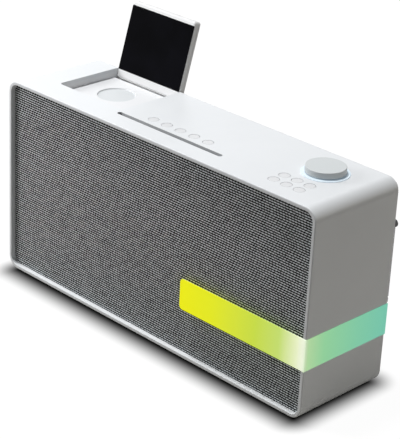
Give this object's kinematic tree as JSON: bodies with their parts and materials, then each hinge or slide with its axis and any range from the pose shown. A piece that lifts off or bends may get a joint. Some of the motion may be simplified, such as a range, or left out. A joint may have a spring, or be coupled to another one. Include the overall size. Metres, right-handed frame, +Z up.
{
  "type": "all-in-one stereo system",
  "caption": "Slim upright stereo cabinet with a cloth front, a slot for a vertical disc, a flip-up display over a recessed bay, a push dial and flush round buttons on top.",
  "frame": {"origin": "on the table, under the middle of the whole object with its display open", "axes": "+Z up, the cloth front faces -Y, +X to the right of someone facing it"},
  "size_m": [0.3604, 0.119, 0.2427],
  "materials": {
    "white_plastic": "satin white moulding",
    "button_white": "satin",
    "dial_white": "satin",
    "light_ring": "frosted, lit from inside",
    "band_print": "fluorescent printed film, yellow to mint",
    "cover_plastic": "fine texture",
    "dark_plastic": "matt",
    "frame_plastic": "matt",
    "grille_fabric": "plain weave, mottled grey",
    "foot_rubber": "matt",
    "screw_steel": "zinc plated",
    "pin_steel": "polished",
    "black_glass": "glossy, printed black behind",
    "panel_module": "display module",
    "circuit_board": "green laminate",
    "sheet_steel": "zinc plated sheet",
    "motor_steel": "plated can",
    "roller_rubber": "matt",
    "mechanism_plastic": "moulded",
    "basket_metal": "black",
    "cone_paper": "pulp cone",
    "surround_rubber": "soft roll",
    "magnet_ferrite": "ferrite and plated yoke",
    "aerial_chrome": "polished"
  },
  "bodies": {
    "cabinet": {"cabinet_sleeve": "white_plastic", "rubber_feet": "foot_rubber", "front_baffle": "dark_plastic", "grille_frame": "frame_plastic", "grille_cloth": "grille_fabric", "rear_cover": "cover_plastic", "rear_cover_screws": "screw_steel", "corner_band": "band_print", "display_bay": "white_plastic", "display_hinge_pins": "pin_steel", "light_ring": "light_ring", "encoder_body": "motor_steel", "button_board": "circuit_board", "cd_chassis": "sheet_steel", "cd_clamp_plate": "sheet_steel", "feed_motor": "motor_steel", "speaker_basket_left": "basket_metal", "speaker_basket_right": "basket_metal", "speaker_surround_left": "surround_rubber", "speaker_surround_right": "surround_rubber", "speaker_magnet_left": "magnet_ferrite", "speaker_magnet_right": "magnet_ferrite", "speaker_screws": "screw_steel", "main_board": "circuit_board", "power_supply": "circuit_board", "mains_inlet": "dark_plastic", "audio_jack": "dark_plastic"},
    "display": {"display_back_cover": "white_plastic", "display_glass": "black_glass", "lcd_panel": "panel_module"},
    "dial_switch": {"encoder_plunger": "mechanism_plastic"},
    "dial": {"volume_dial": "dial_white", "encoder_shaft": "pin_steel"},
    "feed_roller": {"feed_roller_shaft": "pin_steel", "feed_roller_sleeves": "roller_rubber"},
    "drive_unit": {"drive_plate": "sheet_steel", "spindle_motor": "motor_steel", "sled_rods": "pin_steel", "sled_motor": "motor_steel"},
    "turntable": {"turntable": "mechanism_plastic"},
    "laser_sled": {"laser_sled": "mechanism_plastic"},
    "lead_screw": {"lead_screw": "pin_steel"},
    "clamper": {"disc_clamper": "mechanism_plastic"},
    "left_cone": {"speaker_cone_left": "cone_paper"},
    "right_cone": {"speaker_cone_right": "cone_paper"},
    "aerial_knuckle": {"aerial_knuckle": "dark_plastic"},
    "aerial_tube": {"aerial_tube": "aerial_chrome"},
    "aerial_middle": {"aerial_middle_section": "aerial_chrome"},
    "aerial_tip": {"aerial_tip_section": "aerial_chrome"},
    "transport_button_1": {"transport_button_1": "button_white"},
    "transport_button_2": {"transport_button_2": "button_white"},
    "transport_button_3": {"transport_button_3": "button_white"},
    "transport_button_4": {"transport_button_4": "button_white"},
    "transport_button_5": {"transport_button_5": "button_white"},
    "preset_button_1": {"preset_button_1": "button_white"},
    "preset_button_2": {"preset_button_2": "button_white"},
    "preset_button_3": {"preset_button_3": "button_white"},
    "preset_button_4": {"preset_button_4": "button_white"},
    "preset_button_5": {"preset_button_5": "button_white"},
    "preset_button_6": {"preset_button_6": "button_white"}
  },
  "joints": [
    {"name": "display_hinge", "type": "hinge", "parent": "cabinet", "child": "display", "pos_m": [-0.104, 0.0365, 0.1775], "axis": [1, 0, 0], "range_deg": [0, 105.6]},
    {"name": "dial_push", "type": "slide", "parent": "cabinet", "child": "dial_switch", "axis": [0, 0, -1], "range_m": [0, 0.0005], "stiffness_N_per_m": 800, "springref_m": -0.0005},
    {"name": "dial_turn", "type": "hinge", "parent": "dial_switch", "child": "dial", "pos_m": [0.135, 0.0015, 0.18], "axis": [0, 0, 1], "continuous": true},
    {"name": "feed_roller_spin", "type": "hinge", "parent": "cabinet", "child": "feed_roller", "pos_m": [0, -0.0323, 0.1658], "axis": [1, 0, 0], "continuous": true},
    {"name": "drive_unit_lift", "type": "slide", "parent": "cabinet", "child": "drive_unit", "axis": [0, -1, 0], "range_m": [0, 0.0046]},
    {"name": "turntable_spin", "type": "hinge", "parent": "drive_unit", "child": "turntable", "pos_m": [0, -0.0338, 0.098], "axis": [0, -1, 0], "continuous": true},
    {"name": "laser_sled_travel", "type": "slide", "parent": "drive_unit", "child": "laser_sled", "axis": [0, 0, -1], "range_m": [0, 0.027]},
    {"name": "lead_screw_turn", "type": "hinge", "parent": "drive_unit", "child": "lead_screw", "pos_m": [0.02, -0.0274, 0.06], "axis": [0, 0, 1], "range_deg": [0, 2432]},
    {"name": "clamper_spin", "type": "hinge", "parent": "cabinet", "child": "clamper", "pos_m": [0, -0.042, 0.098], "axis": [0, -1, 0], "continuous": true},
    {"name": "left_cone_excursion", "type": "slide", "parent": "cabinet", "child": "left_cone", "axis": [0, -1, 0], "range_m": [-0.0015, 0.0015], "stiffness_N_per_m": 800, "deforming": ["speaker_surround_left"]},
    {"name": "right_cone_excursion", "type": "slide", "parent": "cabinet", "child": "right_cone", "axis": [0, -1, 0], "range_m": [-0.0015, 0.0015], "stiffness_N_per_m": 800, "deforming": ["speaker_surround_right"]},
    {"name": "aerial_swivel", "type": "hinge", "parent": "cabinet", "child": "aerial_knuckle", "pos_m": [0.1715, 0.0415, 0.14], "axis": [0, -1, 0], "range_deg": [-90, 180]},
    {"name": "aerial_tilt", "type": "hinge", "parent": "aerial_knuckle", "child": "aerial_tube", "pos_m": [0.1715, 0.0453, 0.14], "axis": [1, 0, 0], "range_deg": [0, 90]},
    {"name": "aerial_middle_slide", "type": "slide", "parent": "aerial_tube", "child": "aerial_middle", "axis": [0, 0, -1], "range_m": [0, 0.049]},
    {"name": "aerial_tip_slide", "type": "slide", "parent": "aerial_middle", "child": "aerial_tip", "axis": [0, 0, -1], "range_m": [0, 0.047]},
    {"name": "transport_button_1_press", "type": "slide", "parent": "cabinet", "child": "transport_button_1", "axis": [0, 0, -1], "range_m": [0, 0.0008], "stiffness_N_per_m": 600, "springref_m": -0.001},
    {"name": "transport_button_2_press", "type": "slide", "parent": "cabinet", "child": "transport_button_2", "axis": [0, 0, -1], "range_m": [0, 0.0008], "stiffness_N_per_m": 600, "springref_m": -0.001},
    {"name": "transport_button_3_press", "type": "slide", "parent": "cabinet", "child": "transport_button_3", "axis": [0, 0, -1], "range_m": [0, 0.0008], "stiffness_N_per_m": 600, "springref_m": -0.001},
    {"name": "transport_button_4_press", "type": "slide", "parent": "cabinet", "child": "transport_button_4", "axis": [0, 0, -1], "range_m": [0, 0.0008], "stiffness_N_per_m": 600, "springref_m": -0.001},
    {"name": "transport_button_5_press", "type": "slide", "parent": "cabinet", "child": "transport_button_5", "axis": [0, 0, -1], "range_m": [0, 0.0008], "stiffness_N_per_m": 600, "springref_m": -0.001},
    {"name": "preset_button_1_press", "type": "slide", "parent": "cabinet", "child": "preset_button_1", "axis": [0, 0, -1], "range_m": [0, 0.0008], "stiffness_N_per_m": 600, "springref_m": -0.001},
    {"name": "preset_button_2_press", "type": "slide", "parent": "cabinet", "child": "preset_button_2", "axis": [0, 0, -1], "range_m": [0, 0.0008], "stiffness_N_per_m": 600, "springref_m": -0.001},
    {"name": "preset_button_3_press", "type": "slide", "parent": "cabinet", "child": "preset_button_3", "axis": [0, 0, -1], "range_m": [0, 0.0008], "stiffness_N_per_m": 600, "springref_m": -0.001},
    {"name": "preset_button_4_press", "type": "slide", "parent": "cabinet", "child": "preset_button_4", "axis": [0, 0, -1], "range_m": [0, 0.0008], "stiffness_N_per_m": 600, "springref_m": -0.001},
    {"name": "preset_button_5_press", "type": "slide", "parent": "cabinet", "child": "preset_button_5", "axis": [0, 0, -1], "range_m": [0, 0.0008], "stiffness_N_per_m": 600, "springref_m": -0.001},
    {"name": "preset_button_6_press", "type": "slide", "parent": "cabinet", "child": "preset_button_6", "axis": [0, 0, -1], "range_m": [0, 0.0008], "stiffness_N_per_m": 600, "springref_m": -0.001}
  ],
  "couplings": [
    {"joint": "lead_screw_turn", "follows": "laser_sled_travel", "rad_per_m": 1570.8}
  ]
}
